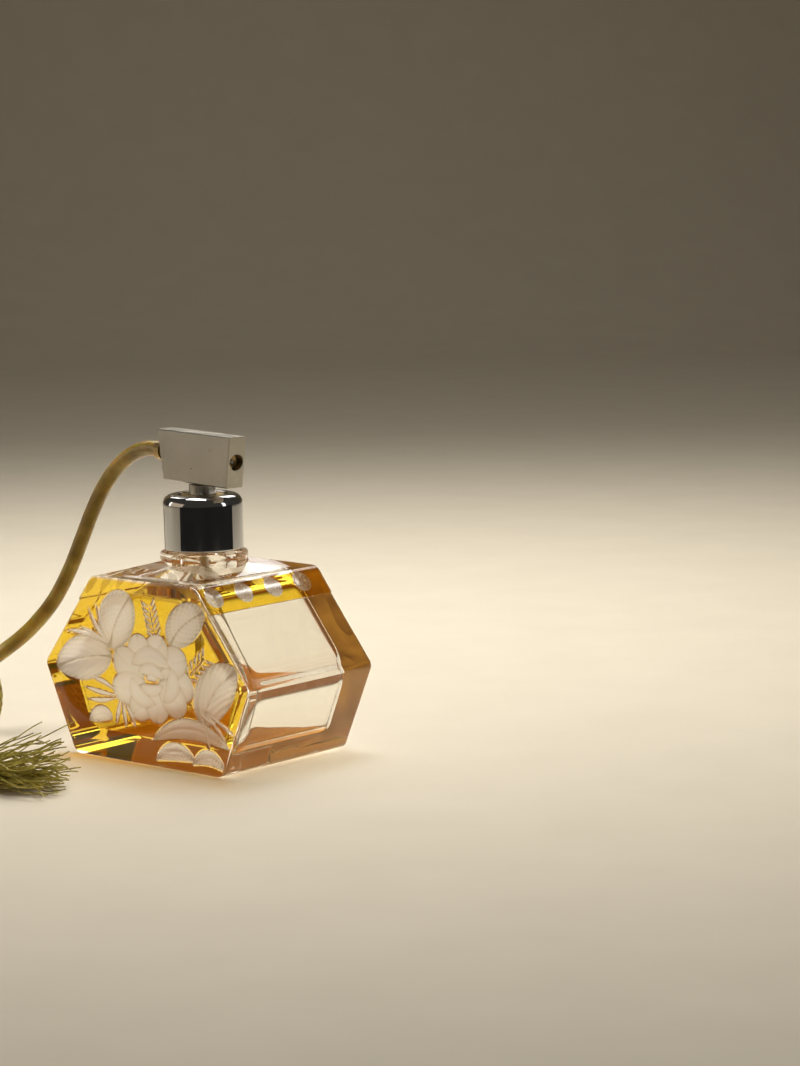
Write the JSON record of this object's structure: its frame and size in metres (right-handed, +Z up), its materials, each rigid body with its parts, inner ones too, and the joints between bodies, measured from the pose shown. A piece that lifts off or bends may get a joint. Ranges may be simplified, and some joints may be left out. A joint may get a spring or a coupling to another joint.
{
  "type": "perfume atomiser",
  "caption": "Squat six-sided cut-glass perfume bottle with engraved flowers, a screwed metal spray head, an air hose and a netted squeeze bulb with a tassel.",
  "frame": {"origin": "middle of the bottle's base, on the table", "axes": "+Z up; X along the bottle's wide way, with the spray nozzle towards +X; the engraved front face looks along -Y"},
  "size_m": [0.1264, 0.1257, 0.101],
  "materials": {
    "stained_glass": "polished, engraved",
    "cap_chrome": "mirror polish",
    "head_nickel": "satin",
    "tube_nickel": "drawn",
    "fitting_brass": "machined",
    "hose_rubber": "aged, smooth",
    "bulb_rubber": "matte",
    "silk_thread": "twisted thread",
    "cork_seal": "pressed cork",
    "neck_cement": "plaster"
  },
  "bodies": {
    "bottle": {"glass_bottle": "stained_glass", "neck_ring": "fitting_brass", "neck_cement": "neck_cement"},
    "plug": {"plug_bush": "fitting_brass", "neck_gasket": "cork_seal"},
    "spray_head": {"head_block": "head_nickel", "stem": "head_nickel", "stem_clip": "fitting_brass", "dip_tube": "tube_nickel", "nozzle_body": "fitting_brass", "nozzle_jet": "tube_nickel", "nozzle_gasket": "bulb_rubber", "hose_nipple": "fitting_brass", "hose_ferrule": "fitting_brass", "hose": "hose_rubber", "bulb_connector": "fitting_brass", "neck_binding": "silk_thread", "rubber_bulb": "bulb_rubber", "net_cover": "silk_thread"},
    "washer": {"slip_washer": "fitting_brass"},
    "cap": {"screw_cap": "cap_chrome", "cap_lining": "cork_seal"},
    "bulb_tail": {"valve_housing": "fitting_brass", "valve_cap": "fitting_brass", "tassel_cord": "silk_thread", "tassel_head": "silk_thread", "tassel_fringe": "silk_thread"},
    "ball": {"valve_ball": "tube_nickel"}
  },
  "joints": [
    {"name": "unit_lift", "type": "slide", "parent": "bottle", "child": "plug", "axis": [0, 0, 1], "range_m": [0, 0.075]},
    {"name": "head_swivel", "type": "hinge", "parent": "plug", "child": "spray_head", "pos_m": [0, 0, 0.08], "axis": [0, 0, 1], "continuous": true},
    {"name": "cap_rise", "type": "slide", "parent": "plug", "child": "washer", "axis": [0, 0, 1], "range_m": [0, 0.00267]},
    {"name": "cap_turn", "type": "hinge", "parent": "washer", "child": "cap", "pos_m": [0, 0, 0.07], "axis": [0, 0, 1], "range_deg": [0, 480]},
    {"name": "bulb_squeeze", "type": "slide", "parent": "spray_head", "child": "bulb_tail", "axis": [-0.6157, 0.788, 0], "range_m": [0, 0.01], "stiffness_N_per_m": 400, "deforming": ["rubber_bulb", "net_cover"]},
    {"name": "inlet_ball", "type": "slide", "parent": "bulb_tail", "child": "ball", "axis": [0.6157, -0.788, 0], "range_m": [0, 0.0008]}
  ],
  "couplings": [
    {"joint": "cap_turn", "follows": "cap_rise", "rad_per_m": 3141.6}
  ]
}
